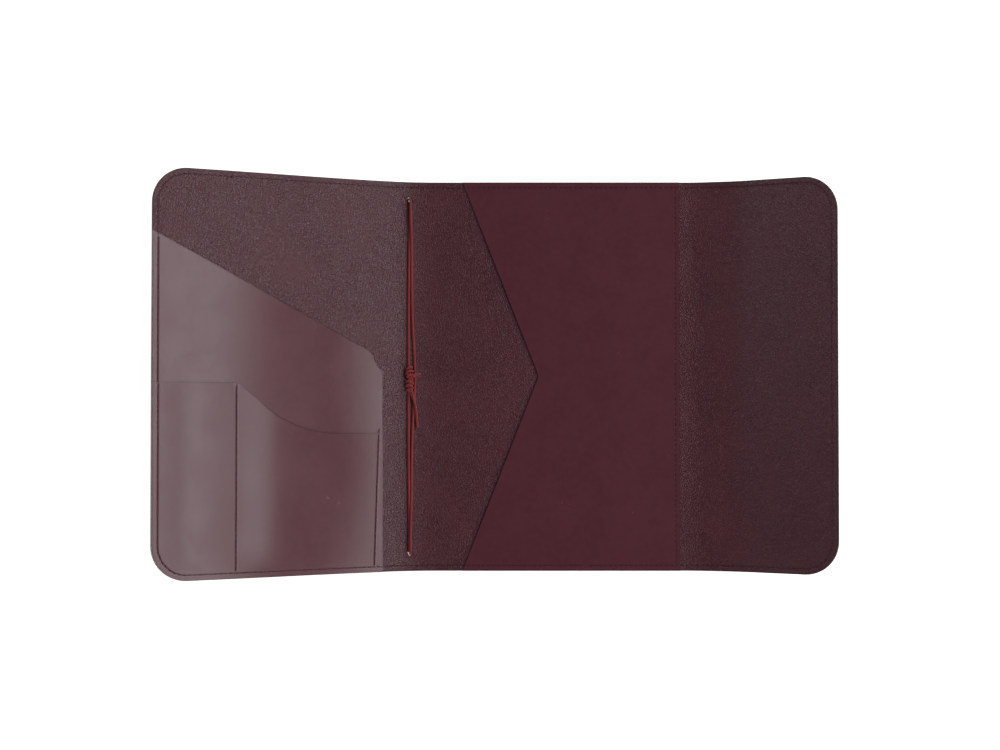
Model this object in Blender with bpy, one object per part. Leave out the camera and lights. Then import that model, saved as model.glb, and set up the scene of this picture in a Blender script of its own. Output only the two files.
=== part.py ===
"""Leather wrap-around portfolio case for an A5 sketchbook, lying open.

The case is one long leather wrap, lined, and sewn round its edge. It folds at four
creases, two beside the spine strip and two beside the fore-edge strip, so it is made
of five panels: front panel, spine strip, back panel, fore-edge strip and wrap flap.
The back panel lies flat, and the panels on either side of it rise at the creases.

Units are metres and +Z is up. +X runs from the front panel to the wrap flap, and +Y
points to the head of the case. The origin is under the middle of the open case, on
the surface that it lies on.
"""

import math

import bmesh
import bpy

MM = 0.001

# Panels, measured along the leather from crease to crease
CASE_HEIGHT = 230.0 * MM
FRONT_WIDTH = 146.0 * MM
SPINE_WIDTH = 16.0 * MM
BACK_WIDTH = 162.0 * MM
FORE_EDGE_WIDTH = 25.8 * MM
FLAP_WIDTH = 59.0 * MM
CORNER_RADIUS = 20.0 * MM
CREASE_GAP = 0.4 * MM

# How far each crease is folded while the case lies open
SPINE_FOLD = math.radians(13.7)
FORE_EDGE_FOLD = math.radians(14.5)

# Layers, counted from the top of the lining, which is also the height of the creases
LAYER_GAP = 0.3 * MM
LINING_THICKNESS = 0.5 * MM
COVER_THICKNESS = 1.1 * MM
POCKET_THICKNESS = 0.7 * MM
STACK = LINING_THICKNESS + LAYER_GAP + COVER_THICKNESS
FIRST_POCKET = LAYER_GAP
SECOND_POCKET = FIRST_POCKET + POCKET_THICKNESS + LAYER_GAP
ONE_POCKET_UP = FIRST_POCKET + POCKET_THICKNESS
TWO_POCKETS_UP = SECOND_POCKET + POCKET_THICKNESS

# Sewing
SEAM_MARGIN = 3.2 * MM
THREAD_WIDTH = 0.6 * MM
THREAD_HEIGHT = 0.3 * MM
THREAD_GAP = 0.2 * MM
THREAD_END_GAP = 1.5 * MM
STEP_CLEARANCE = 0.6 * MM

# Pockets on the front panel, measured from the front crease
POCKET_SIDE = 8.0 * MM
POCKET_SIDE_SEAM = (10.8 * MM, 13.4 * MM)
CARD_POCKET_TOP = -4.6 * MM
CARD_POCKET_STEP = -33.5 * MM
DIVIDER_SEAM = 97.8 * MM

# Pocket on the back panel, measured from the back crease
NOTEBOOK_POCKET_MOUTH = 23.8 * MM
NOTEBOOK_POCKET_APEX = 68.8 * MM
NOTEBOOK_POCKET_SIDE = 152.3 * MM
NOTEBOOK_POCKET_SEAM = 149.9 * MM
APEX_ROUNDING = 5.0 * MM

# Elastic cord through two holes in the spine strip
CORD_DIAMETER = 1.4 * MM
CORD_LINE = 7.5 * MM
HOLE_OFFSET = 104.4 * MM
HOLE_DIAMETER = 4.0 * MM
KNOT_CENTRE = (-0.3 * MM, -1.4 * MM, 2.2 * MM)
KNOT_HALF_SIZE = (2.9 * MM, 7.5 * MM, 2.0 * MM)

HALF_HEIGHT = CASE_HEIGHT / 2
LEFT_REACH = (
    SPINE_WIDTH * math.cos(SPINE_FOLD)
    + FRONT_WIDTH * math.cos(2 * SPINE_FOLD)
    + STACK * math.sin(2 * SPINE_FOLD)
)
RIGHT_REACH = (
    BACK_WIDTH
    + FORE_EDGE_WIDTH * math.cos(FORE_EDGE_FOLD)
    + FLAP_WIDTH * math.cos(2 * FORE_EDGE_FOLD)
    + STACK * math.sin(2 * FORE_EDGE_FOLD)
)
BACK_CREASE_X = (LEFT_REACH - RIGHT_REACH) / 2
ARC_STEPS = 10


# ---------------------------------------------------------------- helpers

def clear_scene():
    """Start from an empty scene."""
    for obj in list(bpy.data.objects):
        bpy.data.objects.remove(obj, do_unlink=True)


def leather(name, colour, roughness):
    """A plain leather or thread material."""
    material = bpy.data.materials.new(name)
    material.use_nodes = True
    shader = material.node_tree.nodes["Principled BSDF"]
    shader.inputs["Base Color"].default_value = (*colour, 1.0)
    shader.inputs["Roughness"].default_value = roughness
    shader.inputs["Metallic"].default_value = 0.0
    return material


def pivot(name, location, angle, parent=None):
    """An empty on a crease's axis, turned about Y by the crease's fold."""
    empty = bpy.data.objects.new(name, None)
    empty.empty_display_size = 0.02
    empty.location = location
    empty.rotation_euler = (0.0, angle, 0.0)
    empty.parent = parent
    bpy.context.scene.collection.objects.link(empty)
    return empty


def place(name, data, material, parent):
    """Link an object, with its own material, under a panel's pivot."""
    obj = bpy.data.objects.new(name, data)
    data.materials.append(material)
    obj.parent = parent
    bpy.context.scene.collection.objects.link(obj)
    return obj


def mesh_from(name, build):
    """Make a mesh with a bmesh builder and turn its faces outward."""
    mesh = bpy.data.meshes.new(name)
    shape = bmesh.new()
    build(shape)
    bmesh.ops.recalc_face_normals(shape, faces=shape.faces)
    shape.to_mesh(mesh)
    shape.free()
    return mesh


def arc(centre, radius, start, end, steps=ARC_STEPS):
    """Points along an arc in the XY plane, its angles in degrees."""
    points = []
    for i in range(steps + 1):
        angle = math.radians(start + (end - start) * i / steps)
        x = centre[0] + radius * math.cos(angle)
        y = centre[1] + radius * math.sin(angle)
        points.append((x, y))
    return points


def layer(name, outline, bottom, thickness, material, parent):
    """A sheet of leather: an outline in the panel's plane, given a thickness."""
    def build(shape):
        corners = [shape.verts.new((x, y, bottom)) for x, y in outline]
        sheet = shape.faces.new(corners)
        grown = bmesh.ops.extrude_face_region(shape, geom=[sheet])
        raised = [item for item in grown["geom"] if isinstance(item, bmesh.types.BMVert)]
        bmesh.ops.translate(shape, verts=raised, vec=(0.0, 0.0, thickness))
    return place(name, mesh_from(name, build), material, parent)


def thread(name, route, material, parent):
    """A line of stitching: a flat ribbon swept along a route of (x, y, z) points."""
    def build(shape):
        rings = []
        for i, (x, y, z) in enumerate(route):
            before = route[max(i - 1, 0)]
            after = route[min(i + 1, len(route) - 1)]
            along_x = after[0] - before[0]
            along_y = after[1] - before[1]
            length = math.hypot(along_x, along_y)
            side_x = -along_y / length * THREAD_WIDTH / 2
            side_y = along_x / length * THREAD_WIDTH / 2
            low = z + THREAD_GAP
            high = low + THREAD_HEIGHT
            rings.append([
                shape.verts.new((x + side_x, y + side_y, low)),
                shape.verts.new((x - side_x, y - side_y, low)),
                shape.verts.new((x - side_x, y - side_y, high)),
                shape.verts.new((x + side_x, y + side_y, high)),
            ])
        for ring, following in zip(rings, rings[1:]):
            for k in range(4):
                m = (k + 1) % 4
                shape.faces.new((ring[k], ring[m], following[m], following[k]))
        shape.faces.new(rings[0])
        shape.faces.new(rings[-1])
    return place(name, mesh_from(name, build), material, parent)


def cord(name, route, material, parent):
    """A round cord along a route of (across, along, above) points on the cord line."""
    curve = bpy.data.curves.new(name, "CURVE")
    curve.dimensions = "3D"
    curve.bevel_depth = CORD_DIAMETER / 2
    curve.bevel_resolution = 2
    curve.use_fill_caps = True
    spline = curve.splines.new("POLY")
    spline.points.add(len(route) - 1)
    for point, (across, along, above) in zip(spline.points, route):
        point.co = (across - CORD_LINE, along, above, 1.0)
    return place(name, curve, material, parent)


# ---------------------------------------------------------------- outlines

def strip_outline(start, end):
    """A panel between two creases, with half the crease's gap left at each side."""
    left = min(start, end) + CREASE_GAP / 2
    right = max(start, end) - CREASE_GAP / 2
    return [(left, -HALF_HEIGHT), (right, -HALF_HEIGHT), (right, HALF_HEIGHT), (left, HALF_HEIGHT)]


def end_outline(width, side):
    """An end panel: its crease at 0 and two round corners at the far end.

    side is -1 where the panel runs towards -X and +1 where it runs towards +X.
    """
    centre_x = width - CORNER_RADIUS
    centre_y = HALF_HEIGHT - CORNER_RADIUS
    points = [(CREASE_GAP / 2, -HALF_HEIGHT)]
    points += arc((centre_x, -centre_y), CORNER_RADIUS, -90, 0)
    points += arc((centre_x, centre_y), CORNER_RADIUS, 0, 90)
    points.append((CREASE_GAP / 2, HALF_HEIGHT))
    return [(side * x, y) for x, y in points]


def lower_corner(width):
    """The lower round corner of the front panel, from its side to its foot."""
    centre = (width - CORNER_RADIUS, CORNER_RADIUS - HALF_HEIGHT)
    return arc(centre, CORNER_RADIUS, 0, -90)


def document_pocket_outline():
    """Tall front pocket: a slanted mouth that drops to a small round step at the side."""
    points = [
        (FRONT_WIDTH, 79.5 * MM),
        (18.0 * MM, 15.6 * MM),
        (15.4 * MM, 13.7 * MM),
        (13.6 * MM, 11.0 * MM),
        (12.6 * MM, 7.6 * MM),
        (10.9 * MM, 5.4 * MM),
        (8.8 * MM, 3.4 * MM),
        (POCKET_SIDE, 0.6 * MM),
        (POCKET_SIDE, -HALF_HEIGHT),
    ]
    points += reversed(lower_corner(FRONT_WIDTH))
    return [(-x, y) for x, y in points]


def card_pocket_outline():
    """Low front pocket: a high compartment, a swept step and a low compartment."""
    sweep_radius = 70.0 * MM
    sweep_centre = (37.0 * MM, CARD_POCKET_STEP + sweep_radius)
    points = [(FRONT_WIDTH, CARD_POCKET_TOP), (97.6 * MM, CARD_POCKET_TOP)]
    points += [(96.4 * MM, -5.0 * MM), (94.6 * MM, -6.2 * MM), (90.2 * MM, -10.0 * MM)]
    points += arc(sweep_centre, sweep_radius, -45, -90, 8)
    points.append((POCKET_SIDE, CARD_POCKET_STEP))
    points.append((POCKET_SIDE, -HALF_HEIGHT))
    points += reversed(lower_corner(FRONT_WIDTH))
    return [(-x, y) for x, y in points]


def notebook_pocket_outline():
    """Back pocket: flush with head and foot, its mouth cut in a deep V."""
    slope = math.atan2(NOTEBOOK_POCKET_APEX - NOTEBOOK_POCKET_MOUTH, HALF_HEIGHT)
    turn = 90 - math.degrees(slope)
    centre = (NOTEBOOK_POCKET_APEX - APEX_ROUNDING / math.sin(math.radians(turn)), 0.0)
    points = [(NOTEBOOK_POCKET_SIDE, -HALF_HEIGHT), (NOTEBOOK_POCKET_SIDE, HALF_HEIGHT)]
    points.append((NOTEBOOK_POCKET_MOUTH, HALF_HEIGHT))
    points += arc(centre, APEX_ROUNDING, 90 - turn, turn - 90, 6)
    points.append((NOTEBOOK_POCKET_MOUTH, -HALF_HEIGHT))
    return points


# ---------------------------------------------------------------- panels

def make_wrap(pivots, cover_material, lining_material):
    """The outer cover and the lining, in one piece for each panel."""
    outlines = {
        "front": end_outline(FRONT_WIDTH, -1),
        "spine": strip_outline(0.0, -SPINE_WIDTH),
        "back": strip_outline(0.0, BACK_WIDTH),
        "fore_edge": strip_outline(0.0, FORE_EDGE_WIDTH),
        "flap": end_outline(FLAP_WIDTH, 1),
    }
    sheets = {}
    for panel, outline in outlines.items():
        parent = pivots[panel]
        cover = layer(
            "outer_cover_" + panel, outline, -STACK, COVER_THICKNESS, cover_material, parent)
        lining = layer(
            "lining_" + panel, outline, -LINING_THICKNESS, LINING_THICKNESS,
            lining_material, parent)
        sheets[panel] = (cover, lining)
    return sheets


def punch_cord_holes(sheets, parent):
    """Two round holes through the spine strip, one near its head and one near its foot."""
    for end, side in (("head", 1), ("foot", -1)):
        def build(shape):
            bmesh.ops.create_cone(
                shape, cap_ends=True, segments=20, radius1=HOLE_DIAMETER / 2,
                radius2=HOLE_DIAMETER / 2, depth=4 * STACK)
        name = "hole_cutter_" + end
        cutter = bpy.data.objects.new(name, mesh_from(name, build))
        cutter.location = (-CORD_LINE, side * HOLE_OFFSET, 0.0)
        cutter.parent = parent
        cutter.hide_render = True
        cutter.display_type = "WIRE"
        bpy.context.scene.collection.objects.link(cutter)
        for sheet in sheets:
            hole = sheet.modifiers.new("cord_hole_" + end, "BOOLEAN")
            hole.operation = "DIFFERENCE"
            hole.solver = "EXACT"
            hole.object = cutter


def make_pockets(pivots, material):
    """The three smooth leather pockets."""
    layer("document_pocket", document_pocket_outline(), FIRST_POCKET, POCKET_THICKNESS,
          material, pivots["front"])
    layer("card_pocket", card_pocket_outline(), SECOND_POCKET, POCKET_THICKNESS,
          material, pivots["front"])
    layer("notebook_pocket", notebook_pocket_outline(), FIRST_POCKET, POCKET_THICKNESS,
          material, pivots["back"])


# ---------------------------------------------------------------- sewing

def seam_line(start, end, y, level=0.0):
    """A straight run of the edge seam at a height y."""
    return [(start, y, level), (end, y, level)]


def make_edge_seam(pivots, material):
    """The seam round the whole edge, broken at each crease."""
    seam_y = HALF_HEIGHT - SEAM_MARGIN
    inner_radius = CORNER_RADIUS - SEAM_MARGIN
    corner_y = HALF_HEIGHT - CORNER_RADIUS

    # Front panel: up onto the two pockets and down again beside the crease
    centre_x = FRONT_WIDTH - CORNER_RADIUS
    side_x = FRONT_WIDTH - SEAM_MARGIN
    mouth_y = 79.5 * MM + STEP_CLEARANCE
    card_y = CARD_POCKET_TOP + STEP_CLEARANCE
    foot_x = POCKET_SIDE - STEP_CLEARANCE
    route = [(THREAD_END_GAP, seam_y, 0.0)]
    route += [(x, y, 0.0) for x, y in arc((centre_x, corner_y), inner_radius, 90, 0)]
    route.append((side_x, mouth_y, 0.0))
    route.append((side_x, mouth_y - STEP_CLEARANCE / 2, ONE_POCKET_UP))
    route.append((side_x, card_y, ONE_POCKET_UP))
    route.append((side_x, card_y - STEP_CLEARANCE / 2, TWO_POCKETS_UP))
    route += [(x, y, TWO_POCKETS_UP)
              for x, y in arc((centre_x, -corner_y), inner_radius, 0, -90)]
    route.append((foot_x + STEP_CLEARANCE / 2, -seam_y, TWO_POCKETS_UP))
    route.append((foot_x, -seam_y, 0.0))
    route.append((THREAD_END_GAP, -seam_y, 0.0))
    thread("edge_thread_front", [(-x, y, z) for x, y, z in route], material, pivots["front"])

    # Wrap flap: no pockets
    centre_x = FLAP_WIDTH - CORNER_RADIUS
    route = [(THREAD_END_GAP, seam_y, 0.0)]
    route += [(x, y, 0.0) for x, y in arc((centre_x, corner_y), inner_radius, 90, 0)]
    route += [(x, y, 0.0) for x, y in arc((centre_x, -corner_y), inner_radius, 0, -90)]
    route.append((THREAD_END_GAP, -seam_y, 0.0))
    thread("edge_thread_flap", route, material, pivots["flap"])

    for end, side in (("head", 1), ("foot", -1)):
        y = side * seam_y
        spine = seam_line(-THREAD_END_GAP, THREAD_END_GAP - SPINE_WIDTH, y)
        thread("edge_thread_spine_" + end, spine, material, pivots["spine"])
        fore_edge = seam_line(THREAD_END_GAP, FORE_EDGE_WIDTH - THREAD_END_GAP, y)
        thread("edge_thread_fore_edge_" + end, fore_edge, material, pivots["fore_edge"])

        # Back panel: over the notebook pocket, whose mouth is slanted where the seam meets it
        slope = (NOTEBOOK_POCKET_APEX - NOTEBOOK_POCKET_MOUTH) / HALF_HEIGHT
        mouth_x = NOTEBOOK_POCKET_MOUTH + (SEAM_MARGIN - THREAD_WIDTH) * slope - STEP_CLEARANCE
        side_x = NOTEBOOK_POCKET_SIDE + STEP_CLEARANCE
        back = [
            (THREAD_END_GAP, y, 0.0),
            (mouth_x, y, 0.0),
            (mouth_x + STEP_CLEARANCE / 2, y, ONE_POCKET_UP),
            (side_x - STEP_CLEARANCE / 2, y, ONE_POCKET_UP),
            (side_x, y, 0.0),
            (BACK_WIDTH - THREAD_END_GAP, y, 0.0),
        ]
        thread("edge_thread_back_" + end, back, material, pivots["back"])


def make_pocket_seams(pivots, material):
    """The seams that hold the pockets down inside the edge seam."""
    foot = SEAM_MARGIN + THREAD_WIDTH + STEP_CLEARANCE - HALF_HEIGHT
    divider = [
        (-DIVIDER_SEAM, CARD_POCKET_TOP - STEP_CLEARANCE, TWO_POCKETS_UP),
        (-DIVIDER_SEAM, foot, TWO_POCKETS_UP),
    ]
    thread("card_divider_thread", divider, material, pivots["front"])
    side = [
        (-POCKET_SIDE_SEAM[0], CARD_POCKET_STEP - STEP_CLEARANCE, TWO_POCKETS_UP),
        (-POCKET_SIDE_SEAM[1], foot, TWO_POCKETS_UP),
    ]
    thread("front_pocket_side_thread", side, material, pivots["front"])
    back = [
        (NOTEBOOK_POCKET_SEAM, -foot, ONE_POCKET_UP),
        (NOTEBOOK_POCKET_SEAM, foot, ONE_POCKET_UP),
    ]
    thread("notebook_pocket_side_thread", back, material, pivots["back"])


# ---------------------------------------------------------------- elastic cord

def hole_pass(side, near, reach_in, reach_out, across):
    """A cord's way through a hole, from the inside of the case to the outside.

    near is the cord's distance from the middle of the strip while it is in the hole,
    reach_in and reach_out are the radii of its bends above and below the strip, and
    across lists how far it is from the cord line at each of the six points.
    """
    profile = []
    for angle in (0, 45, 90):
        turn = math.radians(angle)
        along = near - reach_in + reach_in * math.sin(turn)
        profile.append((along, reach_in * math.cos(turn) + inner_rise(near)))
    for angle in (90, 135, 180):
        turn = math.radians(angle)
        along = near - reach_out + reach_out * math.sin(turn)
        profile.append((along, reach_out * math.cos(turn) - STACK))
    points = []
    for offset, (along, above) in zip(across, profile):
        points.append((offset * MM, side * along, above))
    return points


def inner_rise(near):
    """Extra height of the bend of the pass that lies farther out than its neighbour."""
    return CORD_DIAMETER / 2 + LAYER_GAP if near > HOLE_OFFSET else 0.0


def make_elastic(parent, material):
    """Elastic cord: two turns through the holes, knotted inside, with two cut tails.

    Each point is (across, along, above): millimetres from the cord line towards the
    back panel, towards the head, and above the lining.
    """
    rest = CORD_DIAMETER / 2 + THREAD_GAP
    under = -STACK - rest
    stacked = rest + CORD_DIAMETER + 0.15 * MM
    near_in = HOLE_OFFSET - HOLE_DIAMETER / 2 + rest
    far_in = near_in + CORD_DIAMETER + 0.15 * MM
    far_bend = stacked - inner_rise(far_in)

    knot_strand = [(-0.85, 6.4), (-0.85, 40.0), (-0.5, 75.0), (0.1, 97.0)]
    free_strand = [
        (2.95, 4.0, rest), (2.95, -7.0, rest), (2.5, -15.0, rest), (1.9, -25.0, rest),
        (1.3, -40.0, rest), (1.0, -60.0, rest), (0.95, -70.0, 1.2 * MM),
        (0.5, -85.0, 2.2 * MM), (0.2, -98.0, stacked),
    ]
    route = [(x * MM, y * MM, rest) for x, y in knot_strand]
    route += hole_pass(1, near_in, rest, rest, (0.2, 0.3, 0.45, 0.45, 0.4, 0.3))
    route += [(-0.1 * MM, 98.0 * MM, under), (-0.1 * MM, -97.0 * MM, under)]
    route += [(0.8 * MM, -101.0 * MM, under)]
    route += reversed(hole_pass(-1, far_in, far_bend, rest, (0.3, 0.35, 0.4, 0.5, 0.8, 0.95)))
    route += [(x * MM, y * MM, z) for x, y, z in reversed(free_strand)]
    route += [(x * MM, -y * MM, z) for x, y, z in free_strand[2:-1]]
    route += [(0.0, 98.0 * MM, stacked)]
    route += hole_pass(1, far_in, far_bend, rest, (-0.1, -0.2, -0.3, -0.6, -0.8, -1.1))
    route += [(-1.9 * MM, 100.5 * MM, under), (-1.9 * MM, -98.0 * MM, under)]
    route += reversed(hole_pass(-1, near_in, rest, rest, (-0.3, -0.4, -0.5, -0.5, -0.8, -1.1)))
    route += [(x * MM, y * MM, rest)
              for x, y in ((-0.2, -98.0), (-0.5, -75.0), (-0.85, -40.0), (-0.85, -9.2))]
    cord("elastic_cord", route, material, parent)

    def build_knot(shape):
        bmesh.ops.create_uvsphere(shape, u_segments=16, v_segments=10, radius=1.0)
        bmesh.ops.scale(shape, verts=shape.verts, vec=KNOT_HALF_SIZE)
    knot = place("elastic_knot", mesh_from("elastic_knot", build_knot), material, parent)
    knot.location = (KNOT_CENTRE[0] - CORD_LINE, KNOT_CENTRE[1], KNOT_CENTRE[2])
    knot.data.shade_smooth()

    short_tail = [(2.75, 0.7, 3.1), (4.5, 0.7, 3.25), (6.4, 0.9, 3.3)]
    long_tail = [
        (0.9, -9.2, 2.9), (1.8, -12.9, 2.7), (2.8, -16.5, 2.5), (3.5, -20.0, 1.9),
        (4.0, -24.0, 1.2), (4.6, -30.7, 0.95),
    ]
    for name, tail in (("elastic_tail_short", short_tail), ("elastic_tail_long", long_tail)):
        cord(name, [(x * MM, y * MM, z * MM) for x, y, z in tail], material, parent)


# ---------------------------------------------------------------- assembly

def main():
    clear_scene()
    cover_material = leather("smooth_burgundy_leather", (0.085, 0.020, 0.028), 0.42)
    lining_material = leather("grained_burgundy_lining", (0.110, 0.042, 0.050), 0.75)
    pocket_material = leather("pocket_leather", (0.075, 0.017, 0.026), 0.36)
    thread_material = leather("dark_red_thread", (0.060, 0.008, 0.014), 0.65)
    elastic_material = leather("red_elastic", (0.180, 0.014, 0.016), 0.60)

    pivots = {"back": pivot("back_panel_pivot", (BACK_CREASE_X, 0.0, STACK), 0.0)}
    pivots["spine"] = pivot("spine_pivot", (0.0, 0.0, 0.0), SPINE_FOLD, pivots["back"])
    pivots["front"] = pivot(
        "front_panel_pivot", (-SPINE_WIDTH, 0.0, 0.0), SPINE_FOLD, pivots["spine"])
    pivots["fore_edge"] = pivot(
        "fore_edge_pivot", (BACK_WIDTH, 0.0, 0.0), -FORE_EDGE_FOLD, pivots["back"])
    pivots["flap"] = pivot(
        "flap_pivot", (FORE_EDGE_WIDTH, 0.0, 0.0), -FORE_EDGE_FOLD, pivots["fore_edge"])

    sheets = make_wrap(pivots, cover_material, lining_material)
    punch_cord_holes(sheets["spine"], pivots["spine"])
    make_pockets(pivots, pocket_material)
    make_edge_seam(pivots, thread_material)
    make_pocket_seams(pivots, thread_material)
    make_elastic(pivots["spine"], elastic_material)
    bpy.context.view_layer.update()


main()
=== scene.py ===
"""Looks of the open leather portfolio case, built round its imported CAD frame.

The leather is described flat, as it was cut, in millimetres: s runs along the case from
the back crease towards the wrap flap, y towards the head, and t is the height above the
top of the lining. place() bends the flat leather along the case's profile at rest and
gives metres in the frame.
"""

import math
import random

import bpy
import numpy as np
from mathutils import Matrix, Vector, geometry


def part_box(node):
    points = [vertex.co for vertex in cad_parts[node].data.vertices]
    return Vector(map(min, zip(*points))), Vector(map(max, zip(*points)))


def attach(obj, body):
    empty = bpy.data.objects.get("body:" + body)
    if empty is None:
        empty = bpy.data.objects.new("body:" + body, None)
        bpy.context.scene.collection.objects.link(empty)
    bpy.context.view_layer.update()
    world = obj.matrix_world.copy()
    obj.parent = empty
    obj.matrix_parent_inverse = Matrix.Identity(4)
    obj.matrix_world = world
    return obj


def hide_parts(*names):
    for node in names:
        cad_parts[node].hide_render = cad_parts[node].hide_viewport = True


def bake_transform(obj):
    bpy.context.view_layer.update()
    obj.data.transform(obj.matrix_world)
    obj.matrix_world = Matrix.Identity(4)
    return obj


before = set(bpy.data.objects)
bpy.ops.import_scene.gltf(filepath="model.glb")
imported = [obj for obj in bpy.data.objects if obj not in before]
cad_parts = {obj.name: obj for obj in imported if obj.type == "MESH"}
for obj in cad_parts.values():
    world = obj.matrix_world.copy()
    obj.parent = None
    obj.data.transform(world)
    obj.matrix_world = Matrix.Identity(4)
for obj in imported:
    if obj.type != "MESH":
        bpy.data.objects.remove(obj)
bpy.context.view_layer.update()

random.seed(5)

# The case as it was cut, in millimetres
CREASE_GAP = 0.4
CASE_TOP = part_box("lining_back")[1].z * 1000
BACK_CREASE_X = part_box("lining_back")[0].x * 1000 - CREASE_GAP / 2
HALF_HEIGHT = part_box("lining_back")[1].y * 1000
FRONT_CREASE = -16.0
LEFT_END = FRONT_CREASE - 146.0
FORE_EDGE_CREASE = 162.0
FLAP_CREASE = FORE_EDGE_CREASE + 25.8
RIGHT_END = FLAP_CREASE + 59.0
CORNER_RADIUS = 20.0
LINING_BOTTOM = -0.5
COVER_BOTTOM = -1.9

# Where the wrap's pieces meet, each on a stretch that moves with one body
SPINE_SPLIT = -10.3
BACK_SPLIT = 81.0
FORE_EDGE_SPLIT = 173.3

# Bends at rest, in degrees, and the stretches that they take
SPINE_FOLD = 27.4
FORE_EDGE_FOLD = 14.5
SPINE_BEND = (-26.0, 14.0)
SPINE_BEND_TAIL = (-62.0, -10.0)
PANEL_ARCH = 2.4
FORE_EDGE_BEND = (153.0, 171.0)
FLAP_BEND = (175.0, 200.6)
FLAP_EASE = 1.2             # room for the flap to close over the front cover
FLAP_EASE_ZONE = (188.0, 202.0)

# Stretches that bend when a crease turns
BACK_CREASE_ZONE = (8.0, -5.2)
FRONT_CREASE_ZONE = (-10.6, -24.0)
FORE_EDGE_ZONE = (152.5, 171.5)
FLAP_ZONE = (175.2, 200.4)

# Pockets
POCKET = 0.7
POCKET_GAP = 0.03
POCKET_SIDE = FRONT_CREASE - 8.0
SIDE_SEAM = ((FRONT_CREASE - 10.8, -34.2), (FRONT_CREASE - 13.4, -110.8))
CARD_TOP = -4.6
CARD_STEP = -33.5
DIVIDER = FRONT_CREASE - 97.8
MOUTH = 23.8
APEX = 68.8
APEX_ROUNDING = 5.0
DOCUMENT_SLACK = 0.30       # this and the two puffs are set one by one
LOW_HALF_PUFF = 0.6
HIGH_HALF_PUFF = 0.3
SIDE_SEAM_INSET = 2.8
NOTEBOOK_SIDE = 152.3
NOTEBOOK_SEAM = 149.9

# Sewing
SEAM_MARGIN = 3.2
GROOVE_DEPTH = 0.07
GROOVE_HALF_WIDTH = 0.45
GUARD = 1.1                 # lines beside a groove, which keep its shading to itself
STITCH_PITCH = 3.0
STITCH_LENGTH = 2.55

# Elastic cord through two holes in the spine
CORD_RADIUS = 0.7
CORD_LINE = -7.5
HOLE_ENDS = ((0.45, 103.3), (-0.4, 105.1))
HOLE_RADIUS = 0.88


# ---------------------------------------------------------------- the leather's own space

def smooth(x, start, end):
    """0 before start, 1 after end, and a smooth step between them."""
    u = np.clip((np.asarray(x, float) - start) / (end - start), 0.0, 1.0)
    return u * u * (3 - 2 * u)


def slope(s):
    """The leather's slope at rest, in radians: it rises towards both ends of the case."""
    left = 0.86 * (1 - smooth(s, *SPINE_BEND)) + 0.14 * (1 - smooth(s, *SPINE_BEND_TAIL))
    right = smooth(s, *FORE_EDGE_BEND) + smooth(s, *FLAP_BEND)
    arch = smooth(s, -145.0, -86.0) * (1 - smooth(s, -86.0, -34.0))
    ease = FLAP_EASE * smooth(s, *FLAP_EASE_ZONE)
    return np.radians(FORE_EDGE_FOLD * right - ease - SPINE_FOLD * left
                      - PANEL_ARCH * (arch - 0.45 * left))


PROFILE_STEP = 0.1
PROFILE = np.arange(LEFT_END - 5.0, RIGHT_END + 5.0, PROFILE_STEP)


def follow(direction, start):
    """The sum of direction along the profile, from start at the middle of the back panel."""
    steps = (direction[1:] + direction[:-1]) / 2 * PROFILE_STEP
    total = np.concatenate(([0.0], np.cumsum(steps)))
    return total - np.interp(BACK_SPLIT, PROFILE, total) + start


PROFILE_X = follow(np.cos(slope(PROFILE)), BACK_CREASE_X + BACK_SPLIT)
PROFILE_Z = follow(np.sin(slope(PROFILE)), CASE_TOP)


def place(s, y, t):
    """Points of the flat leather as rows of x, y and z in the frame, in metres."""
    s, y, t = np.broadcast_arrays(*(np.asarray(v, float) for v in (s, y, t)))
    angle = slope(s)
    x = np.interp(s, PROFILE, PROFILE_X) - np.sin(angle) * t
    z = np.interp(s, PROFILE, PROFILE_Z) + np.cos(angle) * t
    return np.stack([x, y, z], axis=-1) / 1000


# ---------------------------------------------------------------- lines on the leather

def arc(centre, radius, start, end, step=6.0):
    """Points along an arc, its angles in degrees."""
    count = max(2, round(abs(end - start) / step))
    angles = np.radians(np.linspace(start, end, count + 1))
    return [(centre[0] + radius * math.cos(a), centre[1] + radius * math.sin(a)) for a in angles]


def columns(a, b):
    """Places along the leather from a to b, close together where it bends."""
    wide = [LEFT_END, -62.0, -34.0, 10.0, 151.0, 202.0, RIGHT_END]
    steps = [4.0, 3.0, 1.5, 4.0, 1.5, 4.0]
    places = []
    for start, end, step in zip(wide, wide[1:], steps):
        places += list(np.linspace(start, end, round((end - start) / step) + 1)[:-1])
    inside = [s for s in places if a + 0.7 < s < b - 0.7]
    return [a, *inside, b]


def edge_lines(inset, a, b):
    """The case's edge, or a line inset from it, between two places along the leather."""
    half = HALF_HEIGHT - inset
    radius = CORNER_RADIUS - inset
    corner_y = HALF_HEIGHT - CORNER_RADIUS
    left = LEFT_END + CORNER_RADIUS
    right = RIGHT_END - CORNER_RADIUS
    along = columns(max(a, left), min(b, right))
    sides = [y for y in rows() if abs(y) < corner_y - 1.0]
    head = [(s, half) for s in along]
    foot = [(s, -half) for s in along]
    if a < left:
        turn = arc((left, corner_y), radius, 90, 180)
        side = [(left - radius, y) for y in reversed(sides)]
        turn_back = arc((left, -corner_y), radius, 180, 270)
        return [head[::-1] + turn[1:] + side + turn_back + foot[1:]]
    if b > right:
        turn = arc((right, -corner_y), radius, 270, 360)
        side = [(right + radius, y) for y in sides]
        turn_back = arc((right, corner_y), radius, 0, 90)
        return [foot + turn[1:] + side + turn_back + head[::-1][1:]]
    return [head, foot]


def rows():
    """Heights of the inner points, which every piece of the wrap shares."""
    return list(np.linspace(-108.0, 108.0, 37))


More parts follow.
